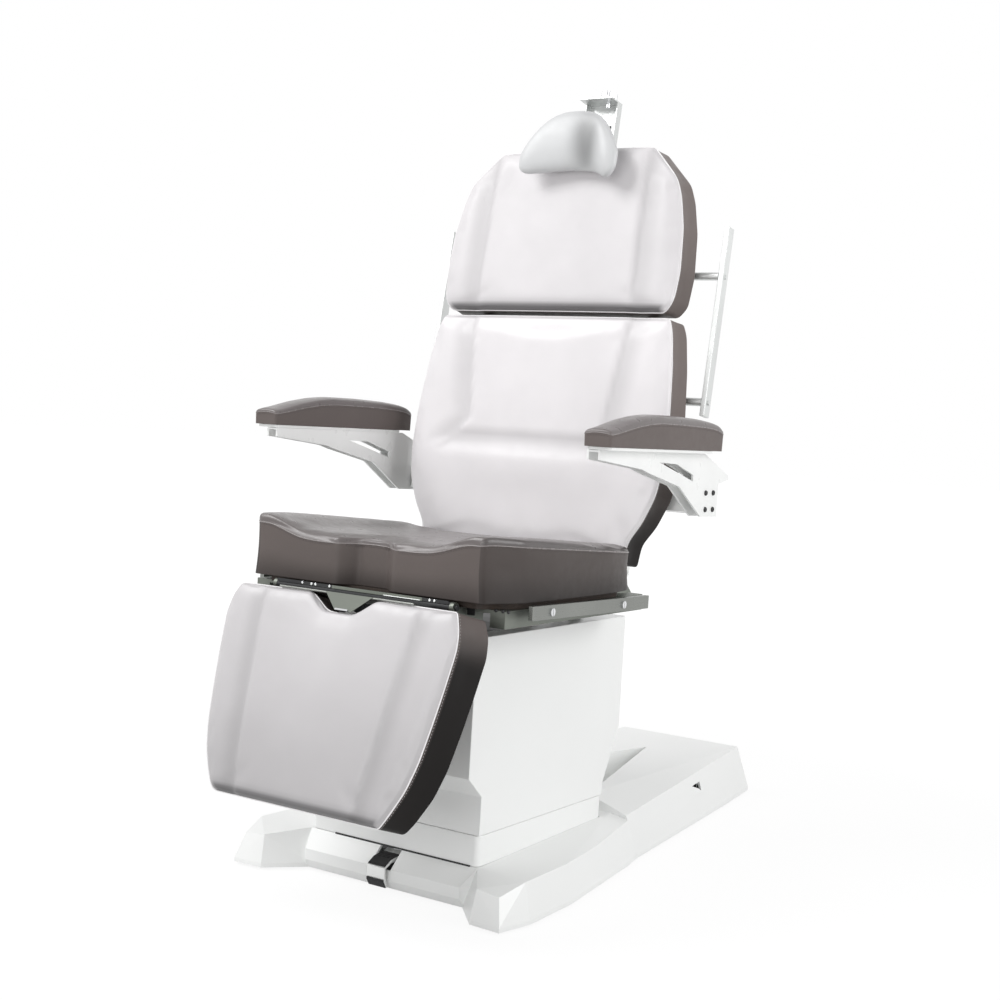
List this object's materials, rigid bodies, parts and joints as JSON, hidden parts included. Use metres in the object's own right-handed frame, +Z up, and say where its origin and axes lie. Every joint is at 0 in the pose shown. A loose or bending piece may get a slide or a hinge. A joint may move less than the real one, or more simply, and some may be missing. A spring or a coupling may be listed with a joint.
{
  "type": "dermatology examination chair",
  "caption": "Powered examination chair with a lifting pedestal, tilting seat, folding back, swinging leg section, height-adjustable headrest and arm rests that stay level.",
  "frame": {"origin": "on the floor, under the middle of the whole chair's box", "axes": "+X to the left side of a person sitting in the chair, +Y from the leg section towards the tail of the floor cover, +Z up"},
  "size_m": [0.798, 1.518, 1.564],
  "materials": {
    "frame_steel": "satin",
    "rubber_black": "matte",
    "cover_white": "gloss",
    "aluminium_profile": "satin",
    "zinc_steel": "satin",
    "drive_grey": "matte",
    "connector_black": "matte",
    "panel_grey": "satin",
    "pedal_chrome": "polished",
    "frame_white": "gloss",
    "board_wood": "matte",
    "upholstery_dark": "satin",
    "upholstery_light": "satin",
    "headrest_grey": "satin",
    "stainless": "brushed"
  },
  "bodies": {
    "base": {"base_frame": "frame_steel", "levelling_feet": "rubber_black", "base_cover": "cover_white", "rear_cover": "cover_white", "pedestal_collar": "cover_white", "inner_shroud": "cover_white", "lift_column_outer": "aluminium_profile", "column_bolts": "zinc_steel", "lift_drive": "drive_grey", "control_box": "drive_grey", "socket_panel": "panel_grey", "power_inlet": "connector_black", "signal_sockets": "connector_black", "pedal_shaft": "zinc_steel"},
    "switch": {"mains_switch": "connector_black"},
    "pedal": {"brake_pedal": "pedal_chrome"},
    "carriage": {"lift_column_inner": "aluminium_profile", "lift_rod": "zinc_steel", "carrier_head": "frame_steel", "upper_shroud": "cover_white", "tilt_pins": "zinc_steel", "tilt_actuator": "drive_grey"},
    "tilt_drive_rod": {"tilt_rod": "zinc_steel"},
    "seat": {"seat_frame": "stainless", "seat_board": "board_wood", "seat_cushion": "upholstery_dark", "side_rails": "stainless", "rail_screws": "stainless", "back_hinge_pins": "zinc_steel", "legrest_shaft": "zinc_steel", "leg_actuator": "drive_grey", "back_actuator": "drive_grey"},
    "leg_drive_rod": {"leg_rod": "zinc_steel"},
    "back_drive_rod": {"back_rod": "zinc_steel"},
    "legrest": {"legrest_frame": "frame_steel", "legrest_board": "board_wood", "legrest_cushion": "upholstery_light", "legrest_v_plate": "stainless"},
    "back": {"back_frame": "frame_white", "lower_back_board": "board_wood", "lower_back_cushion": "upholstery_light", "upper_back_board": "board_wood", "upper_back_cushion": "upholstery_light", "grab_rails": "stainless", "rail_standoffs": "stainless", "headrest_socket": "connector_black"},
    "headrest_carrier": {"headrest_bracket": "stainless"},
    "knob": {"headrest_knob": "stainless"},
    "headrest": {"headrest_shell": "connector_black", "headrest_cushion": "headrest_grey"},
    "arm_left": {"arm_bracket_left": "frame_white", "arm_plate_left": "frame_white", "arm_pad_left": "upholstery_dark", "arm_shaft_left": "zinc_steel"},
    "arm_right": {"arm_bracket_right": "frame_white", "arm_plate_right": "frame_white", "arm_pad_right": "upholstery_dark", "arm_shaft_right": "zinc_steel"},
    "link_left": {"arm_link_left": "zinc_steel"},
    "link_right": {"arm_link_right": "zinc_steel"}
  },
  "joints": [
    {"name": "lift", "type": "slide", "parent": "base", "child": "carriage", "axis": [0, 0, 1], "range_m": [0, 0.28]},
    {"name": "seat_tilt", "type": "hinge", "parent": "carriage", "child": "seat", "pos_m": [0, -0.04905, 0.503], "axis": [-1, 0, 0], "range_deg": [0, 10]},
    {"name": "tilt_drive", "type": "slide", "parent": "carriage", "child": "tilt_drive_rod", "axis": [0, 0, 1], "range_m": [0, 0.0602]},
    {"name": "backrest", "type": "hinge", "parent": "seat", "child": "back", "pos_m": [0, -0.04905, 0.58], "axis": [-1, 0, 0], "range_deg": [0, 80]},
    {"name": "back_drive", "type": "slide", "parent": "seat", "child": "back_drive_rod", "axis": [0, -1, 0], "range_m": [0, 0.1009]},
    {"name": "leg_section", "type": "hinge", "parent": "seat", "child": "legrest", "pos_m": [0, -0.58905, 0.546], "axis": [-1, 0, 0], "range_deg": [0, 72]},
    {"name": "leg_drive", "type": "slide", "parent": "seat", "child": "leg_drive_rod", "axis": [0, -1, 0], "range_m": [0, 0.038]},
    {"name": "headrest_height", "type": "slide", "parent": "back", "child": "headrest_carrier", "axis": [0, 0.1564, 0.9877], "range_m": [0, 0.1]},
    {"name": "knob_turn", "type": "hinge", "parent": "headrest_carrier", "child": "knob", "pos_m": [0.0195, 0.13223, 1.54553], "axis": [0, 0.1564, 0.9877], "range_deg": [0, 360]},
    {"name": "headrest_tilt", "type": "hinge", "parent": "headrest_carrier", "child": "headrest", "pos_m": [0.018, 0.04485, 1.45407], "axis": [-1, 0, 0], "range_deg": [0, 20]},
    {"name": "arm_left_level", "type": "hinge", "parent": "back", "child": "arm_left", "pos_m": [0, 0.02209, 0.7287], "axis": [-1, 0, 0], "range_deg": [-80.5, 0.5]},
    {"name": "arm_right_level", "type": "hinge", "parent": "back", "child": "arm_right", "pos_m": [0, 0.02209, 0.7287], "axis": [-1, 0, 0], "range_deg": [-80.5, 0.5]},
    {"name": "link_left_swing", "type": "hinge", "parent": "seat", "child": "link_left", "pos_m": [0, -0.02754, 0.53266], "axis": [-1, 0, 0], "range_deg": [-0.5, 80.5]},
    {"name": "link_right_swing", "type": "hinge", "parent": "seat", "child": "link_right", "pos_m": [0, -0.02754, 0.53266], "axis": [-1, 0, 0], "range_deg": [-0.5, 80.5]},
    {"name": "brake_pedal", "type": "hinge", "parent": "base", "child": "pedal", "pos_m": [0, -0.44605, 0.057], "axis": [1, 0, 0], "range_deg": [0, 6], "stiffness_Nm_per_rad": 8, "springref_deg": -5.73},
    {"name": "mains_rocker", "type": "hinge", "parent": "base", "child": "switch", "pos_m": [0.17363, 0.40132, 0.0629], "axis": [0.1011, 0.9949, 0], "range_deg": [-7, 7]}
  ],
  "couplings": [
    {"joint": "tilt_drive", "follows": "seat_tilt", "m_per_rad": 0.34349},
    {"joint": "back_drive", "follows": "backrest", "m_per_rad": 0.072115},
    {"joint": "leg_drive", "follows": "leg_section", "m_per_rad": 0.030065},
    {"joint": "arm_left_level", "follows": "backrest", "ratio": -1},
    {"joint": "arm_right_level", "follows": "backrest", "ratio": -1},
    {"joint": "link_left_swing", "follows": "backrest", "ratio": 1},
    {"joint": "link_right_swing", "follows": "backrest", "ratio": 1}
  ]
}
